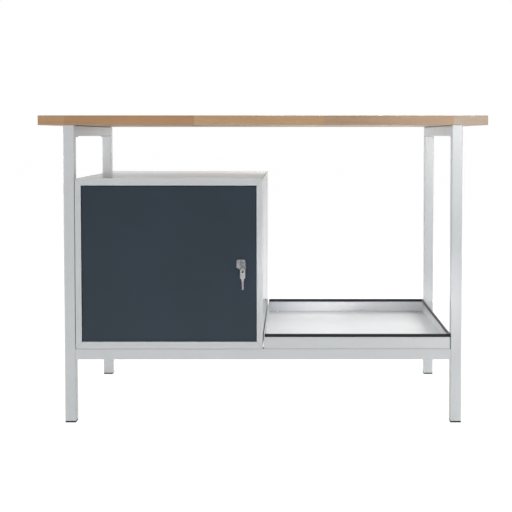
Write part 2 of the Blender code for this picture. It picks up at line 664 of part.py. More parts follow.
def build_door(door):
    """A pan of folded sheet with a stiffener inside, hung on two pins."""
    low = Vector((DOOR_LEFT, DOOR_FRONT, DOOR_BOTTOM))
    high = Vector((DOOR_RIGHT, DOOR_BACK, DOOR_TOP))
    wall = Vector((SHEET, SHEET, SHEET))
    rim = Vector((DOOR_RETURN, 0, DOOR_RETURN))
    pan = solid("door_panel", box_mesh(low, high), DOOR_PAINT, door)
    # Only the four edges of the front are rounded
    weights = pan.data.attributes.new("bevel_weight_edge", "FLOAT", "EDGE")
    middle = (DOOR_FRONT + DOOR_BACK) / 2 - HINGE.y
    for number, edge in enumerate(pan.data.edges):
        weights.data[number].value = float(all(pan.data.vertices[v].co.y < middle for v in edge.vertices))
    fold = pan.modifiers.new("fold_radius", "BEVEL")
    fold.width = DOOR_EDGE_RADIUS
    fold.segments = 2
    fold.limit_method = "WEIGHT"
    behind = Vector((0, DOOR_THICKNESS / 2, 0))
    cut(pan, box_mesh(low + wall, high - wall), carrier=door)
    cut(pan, box_mesh(low + rim + behind, high - rim + Vector((0, OVERRUN, 0))), carrier=door)
    cut(pan, build_hinge("top", door), build_hinge("bottom", door), carrier=door)
    cut(pan, rod_mesh((LOCK_X, 0, LOCK_Z), "Y", BARREL_RADIUS + GAP, DOOR_FRONT - OVERRUN,
                      DOOR_FRONT + SHEET + OVERRUN), carrier=door)
    x = (DOOR_LEFT + DOOR_RIGHT) / 2
    y = DOOR_FRONT + SHEET + GAP
    half, foot_half = STIFFENER_WIDTH / 2, STIFFENER_WIDTH / 2 + STIFFENER_FOOT
    raised = y + STIFFENER_DEPTH
    path = [(x - foot_half, y), (x - half, y), (x - half, raised), (x + half, raised), (x + half, y),
            (x + foot_half, y)]
    ends = (DOOR_BOTTOM + STIFFENER_END_GAP, DOOR_TOP - STIFFENER_END_GAP)
    solid("door_stiffener", prism_mesh(band(path, SHEET, 0), "Z", *ends), DOOR_PAINT, door)


# Lock

def build_lock(door, plug_pivot):
    place = (LOCK_X, 0, LOCK_Z)
    bore = PLUG_FACE_RADIUS + RUN_EASE
    barrel_back = CAM_FRONT - BARREL_BACK_GAP
    middle = (LOCK_X, LOCK_Z)
    housing = solid("lock_housing", prism_mesh(square(middle, ROSETTE, ROSETTE_CORNER), "Y",
                                               ROSETTE_FRONT, ROSETTE_BACK), CHROME, door, smooth=True)
    rounding = housing.modifiers.new("edge", "BEVEL")
    rounding.width = ROSETTE_EDGE_RADIUS
    rounding.segments = 2
    rounding.limit_method = "ANGLE"
    barrel = rod_mesh(place, "Y", BARREL_RADIUS, ROSETTE_BACK - ROSETTE_THICKNESS / 2, barrel_back)
    join(housing, barrel, carrier=door)
    cut(housing, rod_mesh(place, "Y", bore, ROSETTE_FRONT - OVERRUN, barrel_back + OVERRUN), carrier=door)
    nut_front = DOOR_FRONT + SHEET + GAP
    nut = prism_mesh(hexagon(middle, NUT_FLATS_RADIUS), "Y", nut_front, nut_front + NUT_THICKNESS,
                     circle(middle, BARREL_RADIUS + GAP))
    solid("lock_nut", nut, ZINC, door)
    plug = solid("lock_plug", rod_mesh(place, "Y", PLUG_FACE_RADIUS, PLUG_FRONT, CAM_FRONT - GAP),
                 CHROME, plug_pivot, smooth=True)
    boss = prism_mesh(square(middle, BOSS, RUN_EASE), "Y", CAM_FRONT - OVERRUN, BOSS_BACK)
    join(plug, boss, carrier=plug_pivot)
    half_slot = KEY_THICKNESS / 2 + KEYWAY_EASE
    half_height = KEY_BLADE_WIDTH / 2 + KEYWAY_EASE
    slot_end = KEY_SHOULDER.y + KEY_BLADE_LENGTH + KEYWAY_EASE
    cut(plug, box_mesh((LOCK_X - half_slot, PLUG_FRONT - OVERRUN, LOCK_Z - half_height),
                       (LOCK_X + half_slot, slot_end, LOCK_Z + half_height)), carrier=plug_pivot)
    head = BOSS_BACK + GAP
    screw_end = head - CAM_SCREW_REACH
    thread = rod_mesh(place, "Y", CAM_SCREW_RADIUS + HOLE_EASE, screw_end - HOLE_EASE, head + OVERRUN,
                      SMALL_SEGMENTS)
    cut(plug, thread, carrier=plug_pivot)
    reach = LOCK_INSET + DOOR_GAP + SHEET + CAM_GRIP
    half = CAM_WIDTH / 2
    outline = rounded_rectangle((LOCK_X - half, LOCK_Z - reach), (LOCK_X + half, LOCK_Z + half),
                                half * CAM_CORNER_SHARE)
    cam = solid("lock_cam", prism_mesh(outline, "Y", CAM_FRONT, CAM_BACK), ZINC, plug_pivot, smooth=True)
    hole = square(middle, BOSS + 2 * GAP, RUN_EASE)
    cut(cam, prism_mesh(hole, "Y", CAM_FRONT - OVERRUN, CAM_BACK + OVERRUN), carrier=plug_pivot)
    profile = ((0, screw_end), (CAM_SCREW_RADIUS, screw_end), (CAM_SCREW_RADIUS, head),
               (CAM_SCREW_HEAD_RADIUS, head), (CAM_SCREW_HEAD_RADIUS, head + CAM_SCREW_HEAD_HEIGHT / 2),
               (BOSS / 2, head + CAM_SCREW_HEAD_HEIGHT), (0, head + CAM_SCREW_HEAD_HEIGHT))
    solid("cam_screw", turned_mesh(profile, place, "Y", SMALL_SEGMENTS), ZINC, plug_pivot, smooth=True)


# Keys, drawn along a line that starts at the shoulder: minus towards the bow, plus towards the tip

def key_outline():
    bow_end = -KEY_NECK_LENGTH - KEY_BOW_LENGTH
    half_bow = KEY_BOW_WIDTH / 2
    bow = rounded_rectangle((bow_end, -half_bow), (-KEY_NECK_LENGTH, half_bow), KEY_BOW_CORNER)
    rounded_end = [p for p in bow if p[0] <= bow_end + KEY_BOW_CORNER + GAP][::-1]
    half_neck = KEY_NECK_WIDTH / 2
    half_blade = KEY_BLADE_WIDTH / 2
    corner = KEY_SHOULDER_CORNER
    upper = [(-KEY_NECK_LENGTH - corner, half_bow), (-KEY_NECK_LENGTH, half_bow - corner),
             (-KEY_NECK_LENGTH, half_neck), (0, half_blade)]
    cuts = []
    for share, depth in KEY_CUT_SHARES:
        x = share * KEY_BLADE_LENGTH
        run = KEY_CUT_HALF_WIDTH_SHARE * KEY_BLADE_LENGTH
        cuts += [(x - run, half_blade), (x, half_blade - depth * KEY_BLADE_WIDTH), (x + run, half_blade)]
    tip = [(KEY_BLADE_LENGTH - KEY_TIP, half_blade), (KEY_BLADE_LENGTH, half_blade - KEY_TIP),
           (KEY_BLADE_LENGTH, KEY_TIP - half_blade), (KEY_BLADE_LENGTH - KEY_TIP, -half_blade)]
    lower = [(x, -y) for x, y in upper[::-1]]
    return upper + cuts + tip + lower + rounded_end


def key_mesh(to_world):
    mesh = prism_mesh(key_outline(), "Z", -KEY_THICKNESS / 2, KEY_THICKNESS / 2)
    mesh.transform(to_world)
    return mesh


def key_hole_mesh(to_world):
    x = KEY_HOLE_INSET - KEY_NECK_LENGTH - KEY_BOW_LENGTH
    mesh = rod_mesh((x, 0, 0), "Z", KEY_HOLE_RADIUS, -KEY_THICKNESS, KEY_THICKNESS)
    mesh.transform(to_world)
    return mesh


def build_keys(key_pivot, ring_pivot, spare_pivot):
    """The key in the lock, and a ring through its hole with a spare key on it."""
    in_lock = Matrix.Translation(KEY_SHOULDER)
    in_lock @= Matrix(((0, 0, 1, 0), (1, 0, 0, 0), (0, 1, 0, 0), (0, 0, 0, 1)))
    key = solid("key", key_mesh(in_lock), NICKEL, key_pivot)
    cut(key, key_hole_mesh(in_lock), carrier=key_pivot)
    turns = [2 * math.pi * k / WIRE_SEGMENTS for k in range(WIRE_SEGMENTS)]
    wire = [(RING_RADIUS + RING_WIRE_RADIUS * math.cos(a), RING_WIRE_RADIUS * math.sin(a)) for a in turns]
    ring = turned_mesh(wire, RING_CENTRE, "Y", RING_SEGMENTS, closed=True)
    solid("key_ring", ring, NICKEL, ring_pivot, smooth=True)
    hole_from_shoulder = KEY_NECK_LENGTH + KEY_BOW_LENGTH - KEY_HOLE_INSET
    hanging = Matrix.Translation(RING_BOTTOM) @ Matrix.Rotation(SPARE_TURN, 4, "Z")
    hanging @= Matrix.Translation((0, 0, -SPARE_HANG - hole_from_shoulder))
    hanging @= Matrix(((0, -1, 0, 0), (0, 0, 1, 0), (-1, 0, 0, 0), (0, 0, 0, 1)))
    spare = solid("spare_key", key_mesh(hanging), NICKEL, spare_pivot)
    cut(spare, key_hole_mesh(hanging), carrier=spare_pivot)


# Tray

def build_tray():
    low = Vector((TRAY_LEFT, TRAY_FRONT, TRAY_BOTTOM))
    high = Vector((TRAY_RIGHT, TRAY_BACK, TRAY_WALL_TOP))
    outline = rounded_rectangle(low[:2], high[:2], TRAY_FOLD_RADIUS)
    pan = solid("tray_pan", prism_mesh(outline, "Z", low.z, high.z), GREY_PAINT)
    cut(pan, prism_mesh(rounded_rectangle((low.x + SHEET, low.y + SHEET), (high.x - SHEET, high.y - SHEET),
                                          TRAY_FOLD_RADIUS - SHEET), "Z", low.z + SHEET, high.z + OVERRUN))
    sheet_screws("tray", TRAY_LEFT, TRAY_RIGHT, TRAY_BOTTOM, pan)
    # The trim clips over the front, right and rear walls, along the middle of their sheet
    half = SHEET / 2
    start = TRAY_LEFT + TRIM_START
    front, back, right = TRAY_FRONT + half, TRAY_BACK - half, TRAY_RIGHT - half
    path = [(start, front), (right, front), (right, back), (start, back)]
    trim = solid("tray_edge_trim", prism_mesh(band(path, TRIM_WIDTH / 2, TRIM_WIDTH / 2), "Z",
                                              TRIM_TOP - TRIM_HEIGHT, TRIM_TOP), BLACK_PLASTIC)
    slot_path = [(start - OVERRUN, front), (right, front), (right, back), (start - OVERRUN, back)]
    slot = half + TRIM_SLOT_EASE
    cut(trim, prism_mesh(band(slot_path, slot, slot), "Z", TRIM_TOP - TRIM_HEIGHT - OVERRUN,
                         TRAY_WALL_TOP + TRIM_SLOT_EASE))


def build():
    build_frame()
    build_worktop()
    build_cabinet()
    build_tray()
    door = pivot("door_pivot", HINGE)
    plug_pivot = pivot("lock_pivot", LOCK, door)
    key_pivot = pivot("key_pivot", KEY_SHOULDER, plug_pivot)
    ring_pivot = pivot("ring_pivot", KEY_HOLE, key_pivot)
    spare_pivot = pivot("spare_pivot", RING_BOTTOM, ring_pivot)
    build_door(door)
    build_lock(door, plug_pivot)
    build_keys(key_pivot, ring_pivot, spare_pivot)


build()
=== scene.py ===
"""The looks of the workbench: its finishes, welds, edge trim, keys and split ring, and light and camera."""

import json
import math

import bmesh
import bpy
from mathutils import Matrix, Vector


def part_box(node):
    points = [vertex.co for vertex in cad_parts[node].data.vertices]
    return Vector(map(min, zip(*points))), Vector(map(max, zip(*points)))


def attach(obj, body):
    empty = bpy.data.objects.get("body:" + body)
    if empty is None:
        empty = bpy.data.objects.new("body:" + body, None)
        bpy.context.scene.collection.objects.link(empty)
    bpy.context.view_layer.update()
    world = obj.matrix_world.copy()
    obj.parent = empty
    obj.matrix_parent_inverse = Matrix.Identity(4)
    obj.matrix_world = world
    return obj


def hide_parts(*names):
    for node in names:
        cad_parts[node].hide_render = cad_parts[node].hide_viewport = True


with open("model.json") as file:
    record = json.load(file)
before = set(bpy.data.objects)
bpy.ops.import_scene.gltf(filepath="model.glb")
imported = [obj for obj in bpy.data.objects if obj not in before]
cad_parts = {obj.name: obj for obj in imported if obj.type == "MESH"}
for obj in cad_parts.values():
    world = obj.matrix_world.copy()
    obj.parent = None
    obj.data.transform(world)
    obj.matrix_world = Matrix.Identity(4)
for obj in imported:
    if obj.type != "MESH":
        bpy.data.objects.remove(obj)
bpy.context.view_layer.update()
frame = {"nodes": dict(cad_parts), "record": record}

# Camera, set to the photograph's viewing angle
CAMERA_PLACE = (0.0835, -3.0465, 0.8031)
CAMERA_PITCH = math.radians(2.25)
CAMERA_LENS = 70.1
CAMERA_SHIFT = (-0.0722, -0.1581)
CAMERA_REACH = 200.0

# Light
WORLD_LIGHT = 0.22
WORLD_TINT = (0.985, 0.995, 1.0)
BEHIND_CAMERA = 0.28        # brightness that reflections see behind the camera, where white is 1
STUDIO_FALLOFF = (-0.8, 0.1)            # of the way to the rear, from the dim end to the white one
AREA_LIGHTS = {             # place, aim, width, height, watts, in reflections or not, degrees of spread
    "front_light": ((0.0, -11.0, 0.8), (0.0, 0.0, 0.6), 10.0, 1.0, 735.0, False),
    "right_light": ((2.6, 0.0, 2.2), (0.2, 0.0, 0.3), 1.6, 1.6, 66.0, True),
    "rear_light": ((0.8, 3.0, 2.6), (0.2, 0.0, 0.3), 2.0, 1.2, 96.0, True),
    "left_light": ((-3.4, 0.3, 1.3), (0.0, 0.0, 0.4), 1.6, 1.6, 58.0, True),
    "top_light": ((0.0, -0.3, 3.4), (0.0, -0.3, 0.0), 2.0, 2.0, 12.0, True),
    "tray_light": ((0.3, -3.0, 1.72), (0.19, 0.23, 0.19), 0.28, 0.06, 0.23, False, 6.0),
    "tray_side_light": ((-1.6, -3.4, 1.90), (0.55, 0.10, 0.22), 0.3, 0.04, 0.20, False, 4.6),
    "bay_light": ((1.2, -3.3, 0.78), (-0.53, 0.15, 0.775), 0.2, 0.03, 0.02, False, 3.0),
}
FULL_SPREAD = 180.0         # degrees, of the lamps that give none
SIDE_SPOT = ((1.3, -3.3, 0.90), (0.58, 0.0, 0.80), 16.0, 58.0)  # place, aim, degrees, watts
LIGHT_COLOUR = (1.0, 0.997, 0.985)
WHITE = (1.0, 1.0, 1.0)
FLOOR_HALF = 40.0
FLOOR_FALLOFF = (-3.4, -1.2)            # metres to the rear, from the dim end to the white one
FLOOR_GLOW = 0.97           # of the floor's white that no shadow takes away
FLOOR_SHADE = (0.12, 0.12, 0.12)
FLOOR_GREY = (0.85, 0.85, 0.85)         # of the floor as it lights the bench from below

# Beech, in metres and linear colours
STAVE_WIDTH = 0.043
STAVE_LENGTH = 0.36
STAVE_SHIFT = 7.0           # staves by which one row may lie along from the next
GLUE_LINE = 0.00025
STAVE_SEED = 5.0
BEECH_DARK = (0.350, 0.196, 0.098)
BEECH_LIGHT = (0.470, 0.315, 0.185)
# Painted sheen: the paler colour that staves towards the right end take on, standing in for light from the
# right
BEECH_PAINTED_SHEEN = (0.435, 0.365, 0.305)
BEECH_PINK = (0.430, 0.262, 0.160)
BEECH_FLECK = (0.26, 0.145, 0.075)
OWN_GRAIN = (3.0, 3.0, 3.0)             # by which the grain of one stave may lie from another's

# Noises: cells to the metre along, across and through the bench, detail, roughness
BROAD_GRAIN = ((2.2, 55.0, 55.0), 3.0, 0.6)
STREAKS = ((7.0, 330.0, 330.0), 3.0, 0.6)
FLECKS = ((160.0, 950.0, 950.0), 1.0, 0.4)
PORES = ((40.0, 700.0, 700.0), 2.0, 0.5)
PEEL = ((420.0, 420.0, 420.0), 2.0, 0.5)
DRIFT = ((5.0, 5.0, 5.0), 3.0, 0.5)
SPECKS = ((1500.0, 1500.0, 1500.0), 0.0, 0.5)
FINE_GRIT = ((1800.0, 1800.0, 1800.0), 2.0, 0.6)
COARSE_GRIT = ((1200.0, 1200.0, 1200.0), 2.0, 0.6)
BLOTCHES = ((60.0, 60.0, 60.0), 2.0, 0.5)
PATCHES = ((160.0, 160.0, 160.0), 3.0, 0.6)
FINE_SCRATCHES = ((900.0, 900.0, 900.0), 3.0, 0.65)
LONG_SCRATCHES = ((1400.0, 1400.0, 300.0), 3.0, 0.65)

# Year rings on the end grain
RING_BANDS = (0.0, 60.0, 190.0)         # to the metre
RING_WAVER = 3.0
RING_SHARE = 0.3

# Ranges: where each begins and ends, and what a value becomes there, if not 0 and 1
USUAL_NOISE = (0.3, 0.7)
PINK_SHARE = (0.45, 1.0, 0.0, 0.7)
PAINTED_SHEEN_SHARE = (0.0, 0.4, 0.0, 0.8)       # painted sheen, from where a stave starts, in metres along the bench: staves to the right are paler, as if lit from the right
BROAD_SHARE = (0.35, 0.75, 0.0, 0.42)
STREAK_SHARE = (0.5, 0.78, 0.0, 0.3)
FLECK_EDGE = (0.62, 0.74)
END_FACING = (0.6, 0.9)     # from how much a face looks along the bench
PORE_SHARE = (0.4, 0.7, 0.1, 0.75)
BEECH_ROUGHNESS = (0.3, 0.8, 0.32, 0.46)
SPECK_SHARE = (0.3, 0.7, 0.0, 0.12)
DULL_PATCH = (0.35, 0.7)
ROUGH_PATCH = (0.3, 0.75)

# Other shares and roughnesses
FLECK_SHARE = 0.35          # of the fleck's colour in the grain
FLECK_DEPTH = 0.8           # against the height of a streak
GLUE_SHARE = 0.4
DULL_METAL = 0.8            # of the brightness
PAINT_VARIES = 0.03         # in roughness, up and down
MOULDED_VARIES = (-0.06, 0.08)
MOULDED_SPECULAR = 0.4
MOULDED_DEEPER = 0.7        # of the colour, in its darker blotches

# Bumps: depth in metres, strength
BEECH_BUMP = (0.00008, 0.5)
PEEL_BUMP = (0.00006, 0.35)
GRIT_BUMP = (0.00005, 0.5)
SCRATCH_BUMP = (0.00003, 0.4)

# Paint, plastic and metal, in linear colours
GREY = (0.526, 0.543, 0.560)
DOOR = (0.0265, 0.0385, 0.0535)
BLACK = (0.012, 0.012, 0.014)
RUBBER = (0.016, 0.016, 0.016)
PLUG_GREY = (0.11, 0.11, 0.115)
CHROME = (0.82, 0.83, 0.86)
ZINC = (0.60, 0.62, 0.64)
NICKEL = (0.51, 0.52, 0.53)

GAP = 0.0003                # between neighbouring parts, in metres
SAME_POINT = 0.000001
SHARP_EDGE = math.radians(50)
CORNER_STEPS = 3

# Welds, in metres
TUBE = 0.03
TUBE_WALL = 0.0015
TUBE_CORNER = 0.0025
BEAD_LEG = 0.0014
BEAD_STEP = 0.0024          # from one ripple of a bead to the next
BEAD_RIPPLE = 0.10          # of the leg
BEAD_INSET = 0.003          # of a bead's end from the edge of the tube
BEAD_END = 0.35             # of the leg, where a bead begins and ends
BEAD_TAPER = 3.0            # growth from there, in legs over the bead's length
BEAD_ROUND_STEPS = 4
SAMPLES_PER_RIPPLE = 4

# Trim on the tray, in metres
TRIM_ROUND = 0.0011
TRIM_ROUND_STEPS = 3
TRIM_LIP = 0.0004
TRIM_SLOT = 0.0016
TRIM_SEAT = 0.0003          # between the sheet and the bottom of the trim's slot

# Keys, in metres, drawn along a line from the shoulder, minus towards the bow
KEY_THICKNESS = 0.0016
KEY_BOW = (0.028, 0.017, 0.006)         # length, width, corner
KEY_BOW_STEPS = 6
KEY_NECK = (0.0095, 0.0097)             # length, width
KEY_BLADE = (0.022, 0.0055)             # length, width
KEY_SHOULDER_CORNER = 0.0015
KEY_TIP = 0.0015
KEY_HOLE_INSET = 0.0086
KEY_HOLE_RADIUS = 0.00375
KEY_CUTS = ((0.2, 0.22), (0.36, 0.34), (0.52, 0.16), (0.68, 0.3), (0.84, 0.2))  # of length, of width
KEY_CUT_HALF_WIDTH = 0.05   # of the blade's length
KEY_EDGE = 0.00022
SPARE_HANG = 0.0015
SPARE_TURN = math.radians(39)
PAD = (0.0092, 0.0118, 0.0016)          # length, width and corner of the raised pad on a bow
PAD_PROUD = 0.0002
PAD_FROM_NECK = 0.0068
GROOVE = (0.0021, 0.0011, 0.0005)       # width at the face, width at the bottom, depth
GROOVE_OFF_MIDDLE = -0.0006
GROOVE_RUN_OUT = 0.003

# How a key is turned, from along, across and through it to the world's axes
IN_LOCK = Matrix(((0, 0, 1, 0), (1, 0, 0, 0), (0, 1, 0, 0), (0, 0, 0, 1)))
HANGING = Matrix(((0, -1, 0, 0), (0, 0, 1, 0), (-1, 0, 0, 0), (0, 0, 0, 1)))

# Split ring and the lock's collar, in metres
WIRE_WIDTH = 0.00062        # along the ring's axis
WIRE_DEPTH = 0.00125        # across it
WIRE_CORNER = 0.00018
WIRE_RADIUS = 0.0007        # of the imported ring's wire
COIL_SHIFT = 0.00034        # of each turn from the middle of the ring
COIL_CROSSING = math.radians(40)
COIL_STEPS = 192
WIRE_CORNER_STEPS = 2
COLLAR = (0.0064, 0.009)    # inner and outer radius
COLLAR_PROUD = 0.0009
ROUND_STEPS = 48

# Plug in the cabinet's side, in metres
PLUG_STEM_RADIUS = 0.0021
PLUG_HEAD = 0.0008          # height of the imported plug's head
PLUG_DOME = (               # height above the side, radius
    (0.0, 0.0030), (0.0016, 0.0030), (0.0023, 0.0027), (0.0028, 0.0019), (0.0031, 0.0006))


# Meshes

def new_piece(name, mesh, slot, body, stands_for=()):
    """A piece from a bmesh in world coordinates, which rides on a body."""
    bmesh.ops.recalc_face_normals(mesh, faces=mesh.faces)
    data = bpy.data.meshes.new(name)
    mesh.to_mesh(data)
    mesh.free()
    data.materials.append(LOOKS[slot])
    data.shade_smooth()
    data.set_sharp_from_angle(angle=SHARP_EDGE)
    piece = bpy.data.objects.new(name, data)
    piece.modifiers.new("flat_faces", "WEIGHTED_NORMAL").keep_sharp = True
    bpy.context.scene.collection.objects.link(piece)
    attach(piece, body)
    if stands_for:
        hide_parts(*stands_for)


def add_loft(mesh, sections, closed=False):
    """Adds a skin through sections of equally many points, with flat ends unless it closes on itself."""
    rings = [[mesh.verts.new(p) for p in section] for section in sections]
    pairs = list(zip(rings, rings[1:]))
    if closed:
        pairs.append((rings[-1], rings[0]))
    for first, second in pairs:
        for k in range(len(first)):
            j = (k + 1) % len(first)
            mesh.faces.new((first[k], first[j], second[j], second[k]))
    if not closed:
        mesh.faces.new(rings[0][::-1])
        mesh.faces.new(rings[-1])


def rounded_rectangle(width, height, radius, middle=(0.0, 0.0), steps=CORNER_STEPS):
    points = []
    for quarter, (sx, sy) in enumerate(((1, 1), (-1, 1), (-1, -1), (1, -1))):
        for step in range(steps + 1):
            angle = math.pi / 2 * (quarter + step / steps)
            points.append((middle[0] + sx * (width / 2 - radius) + radius * math.cos(angle),
                           middle[1] + sy * (height / 2 - radius) + radius * math.sin(angle)))
    return points


def circle(middle, radius):
    turns = [2 * math.pi * k / ROUND_STEPS for k in range(ROUND_STEPS)]
    return [(middle[0] + radius * math.cos(a), middle[1] + radius * math.sin(a)) for a in turns]


# Node materials

class Nodes:
    """The nodes of one tree, under construction."""

    def __init__(self, tree):
        self.tree = tree

    def put(self, value, socket):
        """Links a socket to another, or sets its value."""
        if isinstance(value, bpy.types.NodeSocket):
            self.tree.links.new(value, socket)
        elif socket.type == "RGBA" and len(value) == 3:
            socket.default_value = (*value, 1.0)
        else:
            socket.default_value = value

    def node(self, kind, inputs=None, **settings):
        made = self.tree.nodes.new("ShaderNode" + kind)
        for key, value in settings.items():
            setattr(made, key, value)
        for key, value in (inputs or {}).items():
            self.put(value, made.inputs[key])
        return made

    def math(self, operation, a, b=0.0):
        return self.node("Math", {0: a, 1: b}, operation=operation).outputs[0]

    def vector(self, operation, a, b):
        return self.node("VectorMath", {0: a, 1: b}, operation=operation).outputs[0]

    def split(self, vector):
        return self.node("SeparateXYZ", {0: vector}).outputs

    def ranged(self, value, low, high, to_low=0.0, to_high=1.0):
        inputs = {"Value": value, "From Min": low, "From Max": high, "To Min": to_low, "To Max": to_high}
        return self.node("MapRange", inputs).outputs["Result"]

    def mixed(self, factor, a, b):
        """A colour between two colours, which the node takes in its inputs 6 and 7."""
        return self.node("Mix", {0: factor, 6: a, 7: b}, data_type="RGBA").outputs[2]

    def seen_directly(self):
        """1 for a ray from the camera, in a reflection or through glass, else 0."""
        rays = self.node("LightPath").outputs
        mirrored = self.math("MAXIMUM", rays["Is Glossy Ray"], rays["Is Transmission Ray"])
        return self.math("MAXIMUM", rays["Is Camera Ray"], mirrored)


class Look(Nodes):
    """A material under construction. Its places are in metres, in the bench's own frame."""

    def __init__(self, name, roughness, metallic=0.0, specular=0.5):
        self.material = bpy.data.materials.new(name)
        self.material.use_nodes = True
        super().__init__(self.material.node_tree)
        self.shader = self.tree.nodes["Principled BSDF"]
        self.shader.inputs["Metallic"].default_value = metallic
        self.shader.inputs["Roughness"].default_value = roughness
        self.shader.inputs["Specular IOR Level"].default_value = specular
        self.place = self.node("TexCoord").outputs["Object"]

    def noise(self, scale, detail, rough, place=None):
        """Smooth noise from 0 to 1, with scale cells to the metre along each axis."""
        stretched = self.vector("MULTIPLY", place or self.place, scale)
        inputs = {"Vector": stretched, "Scale": 1.0, "Detail": detail, "Roughness": rough}
        return self.node("TexNoise", inputs).outputs["Fac"]

    def finish(self, colour, roughness, height, depth, strength):
        bump = self.node("Bump", {"Height": height, "Distance": depth, "Strength": strength})
        self.put(colour, self.shader.inputs["Base Color"])
        self.put(roughness, self.shader.inputs["Roughness"])
        self.put(bump.outputs["Normal"], self.shader.inputs["Normal"])
        return self.material


def shaded(colour, share):
    return tuple(c * share for c in colour)


def beech():
    """Oiled beech, glued up from staves that run along the bench, with end grain on the ends."""
    look = Look("beech", 0.5, specular=0.5)
    x, y, _ = look.split(look.place)
    across = look.math("DIVIDE", y, STAVE_WIDTH)
    row = look.math("FLOOR", across)
    own_row = look.math("ADD", row, STAVE_SEED)
    shift = look.node("TexWhiteNoise", {"W": own_row}, noise_dimensions="1D").outputs["Value"]
    shift = look.math("MULTIPLY", shift, STAVE_SHIFT)
    along = look.math("ADD", look.math("DIVIDE", x, STAVE_LENGTH), shift)
    stave = look.math("FLOOR", along)
    which = look.node("CombineXYZ", {0: row, 1: stave}).outputs[0]
    chance = look.node("TexWhiteNoise", {"Vector": which}, noise_dimensions="3D").outputs["Color"]
    pick = look.node("SeparateColor", {0: chance}).outputs
    own = look.vector("ADD", look.place, look.vector("MULTIPLY", chance, OWN_GRAIN))

    tint = look.mixed(pick[0], BEECH_DARK, BEECH_LIGHT)
    tint = look.mixed(look.ranged(pick[1], *PINK_SHARE), tint, BEECH_PINK)
    # Painted sheen: staves that start towards the right end turn paler, as if lit from the right
    start = look.math("MULTIPLY", look.math("SUBTRACT", stave, shift), STAVE_LENGTH)
    tint = look.mixed(look.ranged(start, *PAINTED_SHEEN_SHARE), tint, BEECH_PAINTED_SHEEN)

    broad = look.noise(*BROAD_GRAIN, own)
    streak = look.noise(*STREAKS, own)
    fleck = look.ranged(look.noise(*FLECKS, own), *FLECK_EDGE)
    grain = look.mixed(look.ranged(broad, *BROAD_SHARE), tint, BEECH_DARK)
    grain = look.mixed(look.ranged(streak, *STREAK_SHARE), grain, BEECH_FLECK)
    grain = look.mixed(look.math("MULTIPLY", fleck, FLECK_SHARE), grain, BEECH_FLECK)
    edge = look.math("PINGPONG", across, 0.5)
    glue = look.ranged(edge, 0.0, GLUE_LINE / STAVE_WIDTH, GLUE_SHARE, 0.0)
    grain = look.mixed(glue, grain, BEECH_FLECK)

    facing = look.split(look.node("NewGeometry").outputs["Normal"])[0]
    end = look.ranged(look.math("ABSOLUTE", facing), *END_FACING)
    pores = look.noise(*PORES, own)
    bands = {"Vector": look.vector("MULTIPLY", own, RING_BANDS), "Scale": 1.0, "Distortion": RING_WAVER}
    rings = look.node("TexWave", bands, bands_direction="DIAGONAL").outputs["Fac"]
    cross = look.mixed(look.ranged(pores, *PORE_SHARE), tint, BEECH_FLECK)
    cross = look.mixed(look.math("MULTIPLY", rings, RING_SHARE), cross, BEECH_DARK)

    height = look.math("SUBTRACT", streak, look.math("MULTIPLY", fleck, FLECK_DEPTH))
    roughness = look.ranged(streak, *BEECH_ROUGHNESS)
    return look.finish(look.mixed(end, grain, cross), roughness, height, *BEECH_BUMP)


def powder_coat(name, colour, roughness, specular, deeper):
    """Baked powder paint: a fine orange peel, and a faint drift in its shade and gloss."""
    look = Look(name, roughness, specular=specular)
    peel = look.noise(*PEEL)
    drift = look.noise(*DRIFT)
    speck = look.noise(*SPECKS)
    base = look.mixed(look.ranged(drift, *USUAL_NOISE), shaded(colour, deeper), colour)
    base = look.mixed(look.ranged(speck, *SPECK_SHARE), base, shaded(colour, deeper))
    rough = look.ranged(drift, *USUAL_NOISE, roughness - PAINT_VARIES, roughness + PAINT_VARIES)
    return look.finish(base, rough, peel, *PEEL_BUMP)


def moulded(name, colour, roughness, grit_noise, deeper=MOULDED_DEEPER):
    """Moulded plastic or rubber, with a fine grain."""
    look = Look(name, roughness, specular=MOULDED_SPECULAR)
    grit = look.noise(*grit_noise)
    blotch = look.noise(*BLOTCHES)
    base = look.mixed(look.ranged(blotch, *USUAL_NOISE), shaded(colour, deeper), colour)
    smoother, rougher = MOULDED_VARIES
    rough = look.ranged(grit, *USUAL_NOISE, roughness + smoother, roughness + rougher)
    return look.finish(base, rough, grit, *GRIT_BUMP)


def metal(name, colour, roughness, scratches, dull):
    """Bare or plated metal, with fine hairlines and duller patches."""
    look = Look(name, roughness, metallic=1.0)
    hairline = look.noise(*scratches)
    patch = look.noise(*PATCHES)
    base = look.mixed(look.ranged(patch, *DULL_PATCH), colour, shaded(colour, DULL_METAL))
    rough = look.ranged(patch, *ROUGH_PATCH, roughness, roughness + dull)
    return look.finish(base, rough, hairline, *SCRATCH_BUMP)


LOOKS = {
    "beech": beech(),
    "grey_paint": powder_coat("grey_paint", GREY, roughness=0.24, specular=0.5, deeper=0.965),
    "door_paint": powder_coat("door_paint", DOOR, roughness=0.48, specular=0.35, deeper=0.85),
    "black_plastic": moulded("black_plastic", BLACK, 0.5, FINE_GRIT),
    "grey_plastic": moulded("grey_plastic", PLUG_GREY, 0.45, FINE_GRIT, deeper=0.85),
    "black_rubber": moulded("black_rubber", RUBBER, 0.8, COARSE_GRIT),
    "chrome": metal("chrome", CHROME, 0.06, FINE_SCRATCHES, dull=0.1),
    "zinc": metal("zinc", ZINC, 0.32, LONG_SCRATCHES, dull=0.12),
    "nickel": metal("nickel", NICKEL, 0.24, LONG_SCRATCHES, dull=0.14),
}


def dress_parts():
    """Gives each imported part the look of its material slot."""
    for part in frame["record"]["subparts"]:
        materials = frame["nodes"][part["node"]].data.materials
        materials.clear()
        materials.append(LOOKS[part["material_slot"]])


# Welds of the frame

